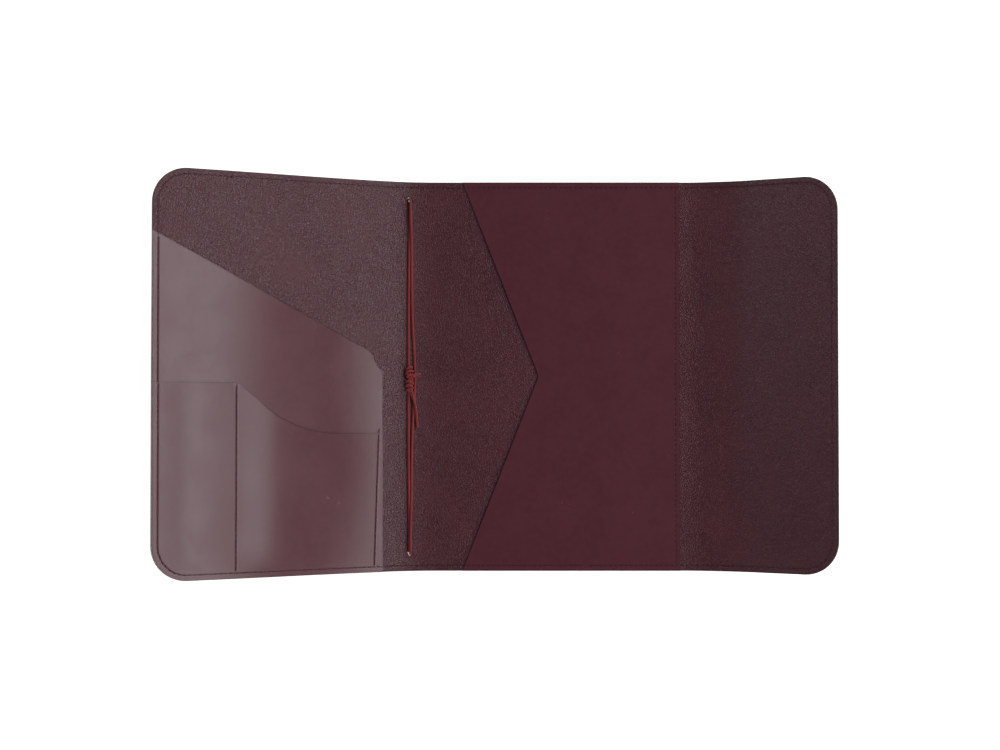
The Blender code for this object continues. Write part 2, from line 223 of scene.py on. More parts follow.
EDGE_INSETS = (0.1, 0.35, 1.0)
SEAM_INSETS = (SEAM_MARGIN - GUARD, SEAM_MARGIN - GROOVE_HALF_WIDTH, SEAM_MARGIN - 0.25,
               SEAM_MARGIN, SEAM_MARGIN + 0.25, SEAM_MARGIN + GROOVE_HALF_WIDTH,
               SEAM_MARGIN + GUARD)


def split_line(s):
    """The line across the leather where two pieces of the wrap meet."""
    insets = (0.0, *EDGE_INSETS, *SEAM_INSETS)
    heights = sorted([HALF_HEIGHT - i for i in insets] + rows() + [i - HALF_HEIGHT for i in insets])
    return [(s, y) for y in heights]


def inset_line(line, distance):
    """A closed line, moved inward by distance. The line runs anticlockwise."""
    points = np.array(line[:-1])
    before = points - np.roll(points, 1, axis=0)
    after = np.roll(points, -1, axis=0) - points
    before /= np.linalg.norm(before, axis=1)[:, None]
    after /= np.linalg.norm(after, axis=1)[:, None]
    normal = np.stack([-before[:, 1] - after[:, 1], before[:, 0] + after[:, 0]], axis=1)
    normal /= np.linalg.norm(normal, axis=1)[:, None]
    cosine = normal[:, 1] * after[:, 0] - normal[:, 0] * after[:, 1]
    moved = points + normal * distance / np.maximum(cosine, 0.4)[:, None]
    return [tuple(p) for p in moved] + [tuple(moved[0])]


def fine(line, step=4.0):
    """A line with extra points, so that none of its stretches is longer than step."""
    points = [tuple(line[0])]
    for (x0, y0), (x1, y1) in zip(line, line[1:]):
        count = max(1, math.ceil(math.hypot(x1 - x0, y1 - y0) / step))
        points += [(x0 + (x1 - x0) * i / count, y0 + (y1 - y0) * i / count)
                   for i in range(1, count + 1)]
    return points


def lower_corner():
    """The lower round corner of the front panel, from its side to its foot."""
    centre = (LEFT_END + CORNER_RADIUS, CORNER_RADIUS - HALF_HEIGHT)
    return arc(centre, CORNER_RADIUS, 180, 270)


def document_mouth():
    """Mouth of the tall front pocket: slanted, with a small round step at the side."""
    steps = [(146.0, 79.5), (18.0, 15.6), (15.4, 13.7), (13.6, 11.0), (12.6, 7.6),
             (10.9, 5.4), (8.8, 3.4), (8.0, 0.6)]
    return [(FRONT_CREASE - d, y) for d, y in steps]


def document_outline():
    """The tall front pocket, flush with the panel's side and foot."""
    line = lower_corner() + [(POCKET_SIDE, -HALF_HEIGHT)] + document_mouth()[::-1]
    return fine(line + line[:1])


def card_outline():
    """Low front pocket: a high compartment, a swept step and a low compartment."""
    radius = 70.0
    sweep = arc((FRONT_CREASE - 37.0, CARD_STEP + radius), radius, 270, 225, 4.0)
    shoulder = [(FRONT_CREASE - d, y) for d, y in ((90.2, -10.0), (94.6, -6.2), (96.4, -5.0))]
    line = lower_corner() + [(POCKET_SIDE, -HALF_HEIGHT), (POCKET_SIDE, CARD_STEP)]
    line += sweep + shoulder + [(DIVIDER + 0.2, CARD_TOP), (LEFT_END, CARD_TOP)]
    return fine(line + line[:1])


def notebook_outline():
    """Back pocket: flush with head and foot, its mouth cut in a deep V."""
    lean = math.degrees(math.atan2(APEX - MOUTH, HALF_HEIGHT))
    centre = (APEX - APEX_ROUNDING / math.cos(math.radians(lean)), 0.0)
    line = [(MOUTH, -HALF_HEIGHT), (NOTEBOOK_SIDE, -HALF_HEIGHT), (NOTEBOOK_SIDE, HALF_HEIGHT)]
    line += [(MOUTH, HALF_HEIGHT)] + arc(centre, APEX_ROUNDING, lean, -lean, 7.0)
    return fine(line + line[:1])


def hole_line(side, radius):
    """Rim of the cord hole at the head (side 1) or foot (-1), drawn oblong by two strands."""
    (near_s, near_y), (far_s, far_y) = ((CORD_LINE + side * s, side * y) for s, y in HOLE_ENDS)
    ahead = math.degrees(math.atan2(far_y - near_y, far_s - near_s))
    line = arc((far_s, far_y), radius, ahead - 90, ahead + 90, 22.5)
    line += arc((near_s, near_y), radius, ahead + 90, ahead + 270, 22.5)
    return line + line[:1]


EDGE_SEAM = (edge_lines(SEAM_MARGIN, LEFT_END, BACK_SPLIT)
             + edge_lines(SEAM_MARGIN, BACK_SPLIT, RIGHT_END))
DIVIDER_SEAM = [(DIVIDER, CARD_TOP - 0.6), (DIVIDER, -110.8)]
NOTEBOOK_SIDE_SEAM = [(NOTEBOOK_SEAM, 110.8), (NOTEBOOK_SEAM, -110.8)]


# ---------------------------------------------------------------- heights of the layers

def segments(lines):
    """The stretches of some lines, as an array of pairs of points."""
    return np.array([pair for line in lines for pair in zip(line, line[1:])], float)


def distance_to(points, lines):
    """How far each point is from the nearest of some lines."""
    nearest = np.full(len(points), 1e9)
    for start, end in segments(lines):
        along = end - start
        share = np.clip((points - start) @ along / (along @ along), 0.0, 1.0)
        gap = points - start - share[:, None] * along
        np.minimum(nearest, np.hypot(gap[:, 0], gap[:, 1]), out=nearest)
    return nearest


def groove(points, seams):
    """Depth of the groove that the stitches pull into the leather."""
    return GROOVE_DEPTH * (1 - smooth(distance_to(points, seams), 0.0, GROOVE_HALF_WIDTH))


def document_base(points):
    """Underside of the tall front pocket: sewn down at its edges, slack inside them."""
    s, y = points.T
    left, foot = s - LEFT_END - SEAM_MARGIN, y + HALF_HEIGHT - SEAM_MARGIN
    side = POCKET_SIDE - SIDE_SEAM_INSET - s
    slack = smooth(left, 0, 60) * smooth(foot, 0, 60) * smooth(side, 0, 40)
    ripple = 0.09 * np.sin(s / 15.0 + 0.8 * np.sin(y / 31.0)) + 0.06 * np.sin(y / 19.0 + s / 37.0)
    return POCKET_GAP + slack * (DOCUMENT_SLACK + ripple)


def document_top(points):
    """Top of the tall front pocket."""
    return document_base(points) + POCKET


def card_base(points):
    """Underside of the low front pocket, which puffs up beside the seams of its two halves."""
    s, y = points.T
    foot = smooth(y + HALF_HEIGHT - SEAM_MARGIN, 0, 14)
    low_half = smooth(s, DIVIDER, DIVIDER + 26) * (1 - smooth(s, DIVIDER + 14, -17))
    high_half = smooth(s, LEFT_END + 4, LEFT_END + 24) * (1 - smooth(s, LEFT_END + 18, DIVIDER))
    ripple = 1 + 0.07 * np.sin(y / 17.0 + s / 23.0)
    puff = (LOW_HALF_PUFF * low_half + HIGH_HALF_PUFF * high_half) * ripple
    return document_top(points) + POCKET_GAP + foot * puff


def card_top(points):
    """Top of the low front pocket."""
    return card_base(points) + POCKET


def notebook_base(points):
    """Underside of the notebook pocket: sewn at the head, the foot and the side."""
    s, y = points.T
    ends = smooth(HALF_HEIGHT - SEAM_MARGIN - np.abs(y), 0, 30)
    side = smooth(NOTEBOOK_SEAM - s, 0, 45)
    ripple = 0.08 * np.sin(s / 19.0 + 0.9 * np.sin(y / 41.0)) + 0.06 * np.sin(y / 23.0 - s / 47.0)
    return POCKET_GAP + ends * side * (0.40 + ripple)


def notebook_top(points):
    """Top of the notebook pocket."""
    return notebook_base(points) + POCKET


def level(value):
    """A layer's surface at one height all over."""
    return lambda points: np.full(len(points), value)


# ---------------------------------------------------------------- meshes

def inside(points, lines):
    """Which points are held by the closed lines, holes left out."""
    held = np.zeros(len(points), bool)
    x, y = points.T
    for (x0, y0), (x1, y1) in segments(lines):
        if y0 == y1:
            continue
        crosses = (y0 > y) != (y1 > y)
        held ^= crosses & (x < x0 + (y - y0) * (x1 - x0) / (y1 - y0))
    return held


def triangulate(rims, splits, lines):
    """Fills what the rims and splits hold with triangles that keep every line as an edge."""
    closed = rims + splits
    every = closed + lines
    corners = np.concatenate([np.array(line) for line in closed])
    low, high = corners.min(0), corners.max(0)
    grid = np.array([(s, y) for s in columns(low[0], high[0])[1:-1] for y in rows()])
    grid = grid[inside(grid, closed)]
    grid = grid[distance_to(grid, every) > 0.9]
    points, edges = [], []
    for line in every:
        edges += [(len(points) + i, len(points) + i + 1) for i in range(len(line) - 1)]
        points += [Vector(p) for p in line]
    points += [Vector(p) for p in grid]
    made = geometry.delaunay_2d_cdt(points, edges, [], 0, 1e-4)
    flat = np.array([tuple(v) for v in made[0]])
    faces = np.array([f for f in made[2] if len(f) == 3])
    faces = faces[inside(flat[faces].mean(axis=1), closed)]
    used = np.unique(faces)
    renumber = np.full(len(flat), -1)
    renumber[used] = np.arange(len(used))
    return flat[used], renumber[faces]


def rim_edges(faces):
    """Edges that belong to one triangle only, in that triangle's direction."""
    seen = {}
    for a, b, c in faces.tolist():
        for edge in ((a, b), (b, c), (c, a)):
            seen[edge] = True
    return [(a, b) for a, b in seen if (b, a) not in seen]


def make_object(name, points, faces, material, attributes):
    """A smooth mesh object with its attributes. Sharp corners stay sharp."""
    mesh = bpy.data.meshes.new(name)
    mesh.from_pydata(points.tolist(), [], faces)
    mesh.materials.append(material)
    for key, values in attributes.items():
        kind = "FLOAT_VECTOR" if values.ndim == 2 else "FLOAT"
        field = "vector" if values.ndim == 2 else "value"
        layer = mesh.attributes.new(key, kind, "POINT")
        layer.data.foreach_set(field, values.astype(np.float32).ravel())
    mesh.shade_smooth()
    mesh.set_sharp_from_angle(angle=math.radians(52))
    piece = bpy.data.objects.new(name, mesh)
    bpy.context.scene.collection.objects.link(piece)
    return piece


def leather_sheet(name, rims, splits, top, base, material, seams, rounding, lines=()):
    """A sheet of leather with rounded edges and a groove along each seam on each face rounded by
    more than 0.1 mm.

    top and base give the height of the two faces, and rounding the radius of each one's
    edge. Along the splits the sheet is cut square, where the next piece goes on.
    """
    flat, faces = triangulate(rims, splits, list(lines))
    edge = distance_to(flat, rims)
    dent = groove(flat, seams) if seams else np.zeros(len(flat))

    def drop(radius):
        reach = np.clip(radius - edge, 0.0, radius)
        return radius - np.sqrt(radius ** 2 - reach ** 2)

    high = top(flat) - drop(rounding[0]) - (dent if rounding[0] > 0.1 else 0)
    low = base(flat) + drop(rounding[1]) + (dent if rounding[1] > 0.1 else 0)
    points = np.concatenate([place(*flat.T, high), place(*flat.T, low)])
    count = len(flat)
    polygons = faces.tolist() + (faces[:, ::-1] + count).tolist()
    polygons += [(a + count, b + count, b, a) for a, b in rim_edges(faces)]
    mid = (high + low) / 2
    cut = np.concatenate([np.column_stack([flat, high - mid]), np.column_stack([flat, low - mid])])
    seam = distance_to(flat, seams) if seams else np.full(count, 9.0)
    attributes = {
        "flat": cut / 1000,
        "edge": np.tile(np.minimum(edge, 9.0), 2),
        "seam": np.tile(np.minimum(seam, 9.0), 2),
    }
    return make_object(name, points, polygons, material, attributes)


def tube_mesh(line, radius, sides, wide=1.0):
    """Points, faces and along-and-around coordinates of a tube with domed ends."""
    line = np.asarray(line, float)
    ahead = np.gradient(line, axis=0)
    ahead /= np.linalg.norm(ahead, axis=1)[:, None]
    side = np.cross(ahead[0], (0.0, 0.0, 1.0))
    if np.linalg.norm(side) < 1e-3:
        side = np.cross(ahead[0], (0.0, 1.0, 0.0))
    side /= np.linalg.norm(side)
    length = np.concatenate(([0.0], np.cumsum(np.linalg.norm(np.diff(line, axis=0), axis=1))))
    ends = np.minimum(length, length[-1] - length) / radius
    width = radius * np.sqrt(1 - np.clip(1 - ends, 0.0, 0.93) ** 2)
    turns = np.linspace(0.0, 2 * math.pi, sides, endpoint=False)
    rings, marks = [], []
    for point, direction, size, reach in zip(line, ahead, width, length):
        side = side - direction * (side @ direction)
        side /= np.linalg.norm(side)
        up = np.cross(side, direction)
        ring = point + size * (np.outer(np.cos(turns), side) * wide + np.outer(np.sin(turns), up))
        rings.append(ring)
        marks += [(reach, turn * radius, 0.0) for turn in turns]
    points = np.concatenate(rings)
    faces = []
    for i in range(len(line) - 1):
        for k in range(sides):
            m = (k + 1) % sides
            faces.append((i * sides + k, i * sides + m, (i + 1) * sides + m, (i + 1) * sides + k))
    faces.append(tuple(reversed(range(sides))))
    faces.append(tuple(len(points) - sides + k for k in range(sides)))
    return points, faces, np.array(marks)


def merged(name, parts, material):
    """One object out of several tube meshes."""
    points, faces, marks, first = [], [], [], 0
    for part_points, part_faces, part_marks in parts:
        points.append(part_points)
        marks.append(part_marks)
        faces += [tuple(k + first for k in face) for face in part_faces]
        first += len(part_points)
    attributes = {"flat": np.concatenate(marks)}
    return make_object(name, np.concatenate(points), faces, material, attributes)


def curve_through(points, step):
    """A smooth curve through some points, with a point at about every step."""
    points = np.array(points, float)
    padded = np.vstack([2 * points[0] - points[1], points, 2 * points[-1] - points[-2]])
    made = []
    for p0, p1, p2, p3 in zip(padded, padded[1:], padded[2:], padded[3:]):
        gap = [max(np.linalg.norm(b - a), 1e-9) ** 0.5 for a, b in ((p0, p1), (p1, p2), (p2, p3))]
        leave = (p1 - p0) / gap[0] - (p2 - p0) / (gap[0] + gap[1]) + (p2 - p1) / gap[1]
        reach = (p2 - p1) / gap[1] - (p3 - p1) / (gap[1] + gap[2]) + (p3 - p2) / gap[2]
        leave, reach = leave * gap[1], reach * gap[1]
        count = max(1, round(np.linalg.norm(p2 - p1) / step))
        for u in np.arange(count) / count:
            made.append((2 * u ** 3 - 3 * u ** 2 + 1) * p1 + (u ** 3 - 2 * u ** 2 + u) * leave
                        + (3 * u ** 2 - 2 * u ** 3) * p2 + (u ** 3 - u ** 2) * reach)
    made.append(points[-1])
    return np.array(made)


# ---------------------------------------------------------------- materials

class Nodes:
    """A material's node tree, with short ways to add and link nodes."""

    def __init__(self, name, roughness, specular, coat=0.0, coat_roughness=0.4, sheen=0.0):
        self.material = bpy.data.materials.new(name)
        self.material.use_nodes = True
        self.tree = self.material.node_tree
        self.shader = self.tree.nodes["Principled BSDF"]
        self.shader.inputs["Roughness"].default_value = roughness
        self.shader.inputs["Specular IOR Level"].default_value = specular
        self.shader.inputs["Coat Weight"].default_value = coat
        self.shader.inputs["Coat Roughness"].default_value = coat_roughness
        self.shader.inputs["Sheen Weight"].default_value = sheen
        self.shader.inputs["Sheen Roughness"].default_value = 0.5

    def put(self, node, **values):
        """Sets a node's sockets: a link for a socket, else a default value."""
        for key, value in values.items():
            socket = node.inputs[key.replace("_", " ")]
            if isinstance(value, bpy.types.NodeSocket):
                self.tree.links.new(value, socket)
            else:
                socket.default_value = value
        return node

    def attribute(self, name, output):
        """An attribute of the mesh."""
        node = self.tree.nodes.new("ShaderNodeAttribute")
        node.attribute_name = name
        return node.outputs[output]

    def noise(self, vector, scale, detail=3.0, roughness=0.55):
        """Soft noise of about 1 / scale metres."""
        node = self.tree.nodes.new("ShaderNodeTexNoise")
        self.put(node, Vector=vector, Scale=scale, Detail=detail, Roughness=roughness)
        return node.outputs["Fac"]

    def cells(self, vector, scale, feature="F1", output="Distance"):
        """Voronoi cells of about 1 / scale metres."""
        node = self.tree.nodes.new("ShaderNodeTexVoronoi")
        node.feature = feature
        self.put(node, Vector=vector, Scale=scale)
        return node.outputs[output]

    def math(self, operation, a, b=0.0):
        """A sum, product or other operation on two numbers."""
        node = self.tree.nodes.new("ShaderNodeMath")
        node.operation = operation
        for socket, value in zip(node.inputs, (a, b)):
            if isinstance(value, bpy.types.NodeSocket):
                self.tree.links.new(value, socket)
            else:
                socket.default_value = value
        return node.outputs[0]

    def step(self, value, start, end, low=0.0, high=1.0):
        """A smooth step of a number, from low at start to high at end."""
        node = self.tree.nodes.new("ShaderNodeMapRange")
        node.interpolation_type = "SMOOTHSTEP"
        self.tree.links.new(value, node.inputs["Value"])
        for key, number in (("From Min", start), ("From Max", end),
                            ("To Min", low), ("To Max", high)):
            node.inputs[key].default_value = number
        return node.outputs[0]

    def mix(self, factor, a, b, blend="MIX"):
        """A mix of two colours."""
        node = self.tree.nodes.new("ShaderNodeMix")
        node.data_type = "RGBA"
        node.blend_type = blend
        sockets = {"Factor": node.inputs[0], "A": node.inputs[6], "B": node.inputs[7]}
        for key, value in (("Factor", factor), ("A", a), ("B", b)):
            if isinstance(value, bpy.types.NodeSocket):
                self.tree.links.new(value, sockets[key])
            elif key == "Factor":
                sockets[key].default_value = value
            else:
                sockets[key].default_value = (*value, 1.0)
        return node.outputs[2]

    def bump(self, height, distance, strength, normal=None):
        """A bump, on top of another one where normal is given."""
        node = self.tree.nodes.new("ShaderNodeBump")
        self.put(node, Height=height, Distance=distance, Strength=strength)
        if normal is not None:
            self.tree.links.new(normal, node.inputs["Normal"])
        return node.outputs[0]

    def finish(self, colour, normal, roughness=None):
        """Links the results to the shader."""
        self.put(self.shader, Base_Color=colour, Normal=normal)
        if roughness is not None:
            self.put(self.shader, Roughness=roughness)
        return self.material


def grained_leather(name, dark, light, pebble_highlight, grain, depth, roughness, specular):
    """Pebbled leather with dark edges, painted grey highlights on pebble tops, painted shade in
    cracks and seams.

    grain is the size of a pebble and depth its height, both in metres.
    """
    n = Nodes(name, roughness, specular)
    flat = n.attribute("flat", "Vector")
    edge = n.attribute("edge", "Fac")
    seam = n.attribute("seam", "Fac")

    warp = n.noise(flat, 0.35 / grain, 2.0)
    shifted = n.tree.nodes.new("ShaderNodeVectorMath")
    shifted.operation = "MULTIPLY_ADD"
    n.tree.links.new(warp, shifted.inputs[0])
    shifted.inputs[1].default_value = (grain, grain * 0.7, 0.0)
    n.tree.links.new(flat, shifted.inputs[2])
    pebble = n.cells(shifted.outputs[0], 1 / grain, "SMOOTH_F1")
    crack = n.cells(shifted.outputs[0], 0.62 / grain, "DISTANCE_TO_EDGE")
    fleck = n.noise(flat, 1.7 / grain, 2.0, 0.7)
    patches = n.noise(flat, 28.0, 4.0, 0.6)

    height = n.math("SUBTRACT", n.math("MULTIPLY", fleck, 0.45), pebble)
    height = n.math("ADD", height, n.step(crack, 0.0, 0.16))
    colour = n.mix(n.step(patches, 0.3, 0.72), dark, light)
    # Painted highlight: high fleck noise lightens the pebbles towards a grey.
    colour = n.mix(n.step(fleck, 0.5, 0.78, 0.0, 0.6), colour, pebble_highlight)
    # Painted shade: the cracks between the pebbles are darkened.
    colour = n.mix(n.step(crack, 0.12, 0.0, 0.0, 0.35), colour, [0.55 * c for c in dark])
    # Painted shade: the leather darkens towards the seam's groove.
    colour = n.mix(n.step(seam, 0.75, 0.1, 0.0, 0.55), colour, [0.4 * c for c in dark])
    colour = n.mix(n.step(edge, 0.75, 0.12, 0.0, 0.93), colour, (0.008, 0.003, 0.004))
    normal = n.bump(n.noise(flat, 3.4 / grain, 2.0), depth * 0.5, 0.35)
    normal = n.bump(height, depth, 0.6, normal)
    rough = n.step(n.math("ADD", fleck, n.math("MULTIPLY", patches, 0.5)), 0.4, 1.1,
                   roughness - 0.07, roughness + 0.07)
    return n.finish(colour, normal, rough)


def smooth_leather(name, dark, light, roughness, specular):
    """Smooth aniline leather: cloudy colour, fine pores, faint drawn lines and painted shade along
    the seams.
    """
    n = Nodes(name, roughness, specular)
    flat = n.attribute("flat", "Vector")
    edge = n.attribute("edge", "Fac")
    seam = n.attribute("seam", "Fac")

    clouds = n.noise(flat, 45.0, 5.0, 0.62)
    blotches = n.noise(flat, 260.0, 3.0, 0.6)
    pores = n.cells(flat, 2100.0)
    stretched = n.tree.nodes.new("ShaderNodeMapping")
    stretched.inputs["Scale"].default_value = (420.0, 90.0, 90.0)
    stretched.inputs["Rotation"].default_value = (0.0, 0.0, 0.5)
    n.tree.links.new(flat, stretched.inputs["Vector"])
    lines = n.noise(stretched.outputs[0], 1.0, 3.0, 0.6)

    colour = n.mix(n.step(clouds, 0.32, 0.7), dark, light)
    colour = n.mix(n.step(blotches, 0.35, 0.75, 0.0, 0.16), colour, [1.5 * c for c in light])
    # Painted shade: the leather darkens towards the seam's groove.
    colour = n.mix(n.step(seam, 0.5, 0.1, 0.0, 0.5), colour, [0.45 * c for c in dark])
    colour = n.mix(n.step(edge, 0.4, 0.1, 0.0, 0.45), colour, (0.014, 0.004, 0.006))
    normal = n.bump(pores, 0.00004, 0.10)
    normal = n.bump(lines, 0.00025, 0.07, normal)
    rough = n.step(n.math("ADD", clouds, n.math("MULTIPLY", blotches, 0.6)), 0.5, 1.1,
                   roughness - 0.02, roughness + 0.03)
    return n.finish(colour, normal, rough)


def thread_material(name, dark, light):
    """Waxed twisted thread: slanting plies."""
    n = Nodes(name, 0.5, 0.35)
    flat = n.attribute("flat", "Vector")
    turned = n.tree.nodes.new("ShaderNodeMapping")
    turned.inputs["Rotation"].default_value = (0.0, 0.0, 0.7)
    n.tree.links.new(flat, turned.inputs["Vector"])
    wave = n.tree.nodes.new("ShaderNodeTexWave")
    n.put(wave, Vector=turned.outputs[0], Scale=520.0, Distortion=0.6)
    colour = n.mix(n.step(wave.outputs["Fac"], 0.1, 0.9), dark, light)
    return n.finish(colour, n.bump(wave.outputs["Fac"], 0.00008, 0.6))


def elastic_material(name, dark, light):
    """Round braided elastic: two sets of crossing yarns with a little fuzz."""
    n = Nodes(name, 0.62, 0.3, sheen=0.25)
    flat = n.attribute("flat", "Vector")
    waves = []
    for turn in (0.85, -0.85):
        turned = n.tree.nodes.new("ShaderNodeMapping")
        turned.inputs["Rotation"].default_value = (0.0, 0.0, turn)
        n.tree.links.new(flat, turned.inputs["Vector"])
        wave = n.tree.nodes.new("ShaderNodeTexWave")
        n.put(wave, Vector=turned.outputs[0], Scale=310.0, Distortion=0.3)
        waves.append(wave.outputs["Fac"])
    braid = n.math("MAXIMUM", *waves)
    fuzz = n.noise(flat, 2600.0, 3.0)
    worn = n.noise(flat, 130.0, 3.0)
    colour = n.mix(n.step(braid, 0.25, 0.95), dark, light)
    colour = n.mix(n.step(fuzz, 0.55, 0.8, 0.0, 0.5), colour, [1.6 * c for c in light])
    colour = n.mix(n.step(worn, 0.55, 0.8, 0.0, 0.35), colour, [0.5 * c for c in dark])
    normal = n.bump(fuzz, 0.00006, 0.4)
    return n.finish(colour, n.bump(braid, 0.00016, 0.8, normal))


# ---------------------------------------------------------------- camera and lights

def make_camera():
    """Looks straight down on the open case from a metre up, a little from the foot."""
    data = bpy.data.cameras.new("camera")
    data.sensor_width = 36.0
    data.lens = 60.8
    data.clip_start = 0.01
    camera = bpy.data.objects.new("camera", data)
    camera.location = (-0.00073, -0.022, 1.0019)
    camera.rotation_euler = (math.radians(1.30), 0.0, 0.0)
    bpy.context.scene.collection.objects.link(camera)
    bpy.context.scene.camera = camera


def softbox(name, toward, distance, width, height, power):
    """A rectangular softbox that faces the case from a direction."""
    data = bpy.data.lights.new(name, "AREA")
    data.shape = "RECTANGLE"
    data.size = width
    data.size_y = height
    data.energy = power
    lamp = bpy.data.objects.new(name, data)
    direction = Vector(toward).normalized()
    lamp.location = direction * distance
    lamp.rotation_euler = direction.to_track_quat("Z", "Y").to_euler()
    bpy.context.scene.collection.objects.link(lamp)


def make_studio(floor_material):
    """Pale floor, a sky that is bright at the horizon and dark overhead, and softboxes."""
    mesh = bpy.data.meshes.new("floor")
    size = 12.0
    low = -0.0003
    corners = [(-size, -size, low), (size, -size, low), (size, size, low), (-size, size, low)]
    mesh.from_pydata(corners, [], [(0, 1, 2, 3)])
    mesh.materials.append(floor_material)
    floor = bpy.data.objects.new("floor", mesh)
    bpy.context.scene.collection.objects.link(floor)

    world = bpy.data.worlds.new("studio")
    world.use_nodes = True
    tree = world.node_tree
    background = tree.nodes["Background"]
    place_node = tree.nodes.new("ShaderNodeTexCoord")
    parts = tree.nodes.new("ShaderNodeSeparateXYZ")
    ramp = tree.nodes.new("ShaderNodeMapRange")
    ramp.interpolation_type = "SMOOTHSTEP"
    tree.links.new(place_node.outputs["Generated"], parts.inputs[0])
    tree.links.new(parts.outputs["Z"], ramp.inputs["Value"])
    for key, value in (("From Min", 0.05), ("From Max", 0.45), ("To Min", 0.60), ("To Max", 0.22)):
        ramp.inputs[key].default_value = value
    tree.links.new(ramp.outputs[0], background.inputs["Strength"])
    background.inputs["Color"].default_value = (1.0, 1.0, 1.0, 1.0)
    bpy.context.scene.world = world

    softbox("key", (0.603, 0.05, 0.80), 1.9, 1.5, 0.28, 8.4)
    softbox("fill", (-0.80, 0.22, 0.60), 1.9, 0.6, 1.2, 4.2)
    for side in (1, -1):
        softbox("side_%+d" % side, (0.60, 0.68 * side, 0.42), 1.9, 0.8, 0.8, 13.0)
    bpy.context.scene.view_settings.view_transform = "Standard"


# ---------------------------------------------------------------- the wrap

def rides_across(piece):
    """Bakes a piece's placement into its mesh."""
    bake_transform(piece)


WRAP = {
    "front": (LEFT_END, SPINE_SPLIT, "spine", "front_panel", FRONT_CREASE_ZONE),
    "spine": (SPINE_SPLIT, BACK_SPLIT, "back_panel", "spine", BACK_CREASE_ZONE),
    "back": (BACK_SPLIT, FORE_EDGE_SPLIT, "back_panel", "fore_edge", FORE_EDGE_ZONE),
    "flap": (FORE_EDGE_SPLIT, RIGHT_END, "fore_edge", "flap", FLAP_ZONE),
}


def make_wrap(cover_material, lining_material):
    """The outer cover and the lining, each sewn to the other and bending at four creases."""
    stands_for = {"front": ["front"], "spine": ["spine", "back"], "back": ["fore_edge"],
                  "flap": ["flap"]}
    for part, (a, b, first, second, zone) in WRAP.items():
        rims = edge_lines(0.0, a, b)
        splits = [split_line(s) for s in (a, b) if s not in (LEFT_END, RIGHT_END)]
        lines = [line for inset in (*EDGE_INSETS, *SEAM_INSETS) for line in edge_lines(inset, a, b)]
        if part == "spine":
            rims += [hole_line(side, HOLE_RADIUS) for side in (1, -1)]
            lines += [hole_line(side, HOLE_RADIUS + out)
                      for side in (1, -1) for out in (0.25, 0.9)]
        seams = edge_lines(SEAM_MARGIN, a, b)
        lining = leather_sheet("lining_leather_" + part, rims, splits, level(0.0),
                               level(LINING_BOTTOM), lining_material, seams, (0.22, 0.04), lines)
        cover = leather_sheet("cover_leather_" + part, rims, splits, level(LINING_BOTTOM),
                              level(COVER_BOTTOM), cover_material, seams, (0.04, 0.38), lines)
        for piece, node, slot in ((lining, "lining_", "lining_leather"),
                                  (cover, "outer_cover_", "outer_leather")):
            rides_across(piece)
            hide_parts(*(node + name for name in stands_for[part]))


def make_pockets(material):
    """The three smooth leather pockets."""
    pockets = (
        ("document_pocket", document_outline(), document_base, document_top, "front_panel",
         [SIDE_SEAM] + EDGE_SEAM[:1]),
        ("card_pocket", card_outline(), card_base, card_top, "front_panel",
         [SIDE_SEAM, DIVIDER_SEAM] + EDGE_SEAM[:1]),
        ("notebook_pocket", notebook_outline(), notebook_base, notebook_top, "back_panel",
         [NOTEBOOK_SIDE_SEAM] + notebook_edge_seams()),
    )
    for node, outline, base, top, body, seams in pockets:
        lines = [inset_line(outline, inset) for inset in EDGE_INSETS]
        piece = leather_sheet(node + "_leather", [outline], [], top, base, material, seams,
                              (0.16, 0.11), lines + seam_lines(seams, outline))
        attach(piece, body)
        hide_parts(node)


def notebook_edge_seams():
    """The edge seam at the head and the foot, over the notebook pocket."""
    y = HALF_HEIGHT - SEAM_MARGIN
    return [[(MOUTH, y), (NOTEBOOK_SIDE, y)], [(MOUTH, -y), (NOTEBOOK_SIDE, -y)]]


def seam_lines(seams, outline):
    """Lines along both sides of each seam and down its middle, kept inside an outline."""
    lines = []
    for seam in seams:
        points = np.array(fine(seam, 3.0))
        ahead = np.gradient(points, axis=0)
        ahead /= np.linalg.norm(ahead, axis=1)[:, None]
        across = np.stack([-ahead[:, 1], ahead[:, 0]], axis=1)
        for offset in (-GUARD, -GROOVE_HALF_WIDTH, -0.25, 0.0,
                       0.25, GROOVE_HALF_WIDTH, GUARD):
            moved = points + across * offset
            held = inside(moved, [outline]) & (distance_to(moved, [outline]) > 0.6)
            run = []
            for point, kept in zip(moved, held):
                if kept:
                    run.append(tuple(point))
                elif len(run) > 1:
                    lines.append(run)
                    run = []
            if len(run) > 1:
                lines.append(run)
    return lines


# ---------------------------------------------------------------- sewing

def along(line, pitch, start=0.0):
    """Middles and directions of stitches along a line, a whole number of them."""
    points = np.array(line, float)
    gaps = np.linalg.norm(np.diff(points, axis=0), axis=1)
    reach = np.concatenate(([0.0], np.cumsum(gaps)))
    count = max(1, round((reach[-1] - start) / pitch))
    middles = (np.arange(count) + 0.5) * (reach[-1] - start) / count + start
    s = np.interp(middles, reach, points[:, 0])
    y = np.interp(middles, reach, points[:, 1])
    ahead_s, ahead_y = (np.interp(middles + 0.5, reach, points[:, axis])
                        - np.interp(middles - 0.5, reach, points[:, axis]) for axis in (0, 1))
    size = np.hypot(ahead_s, ahead_y)
    return np.column_stack([s, y, ahead_s / size, ahead_y / size])


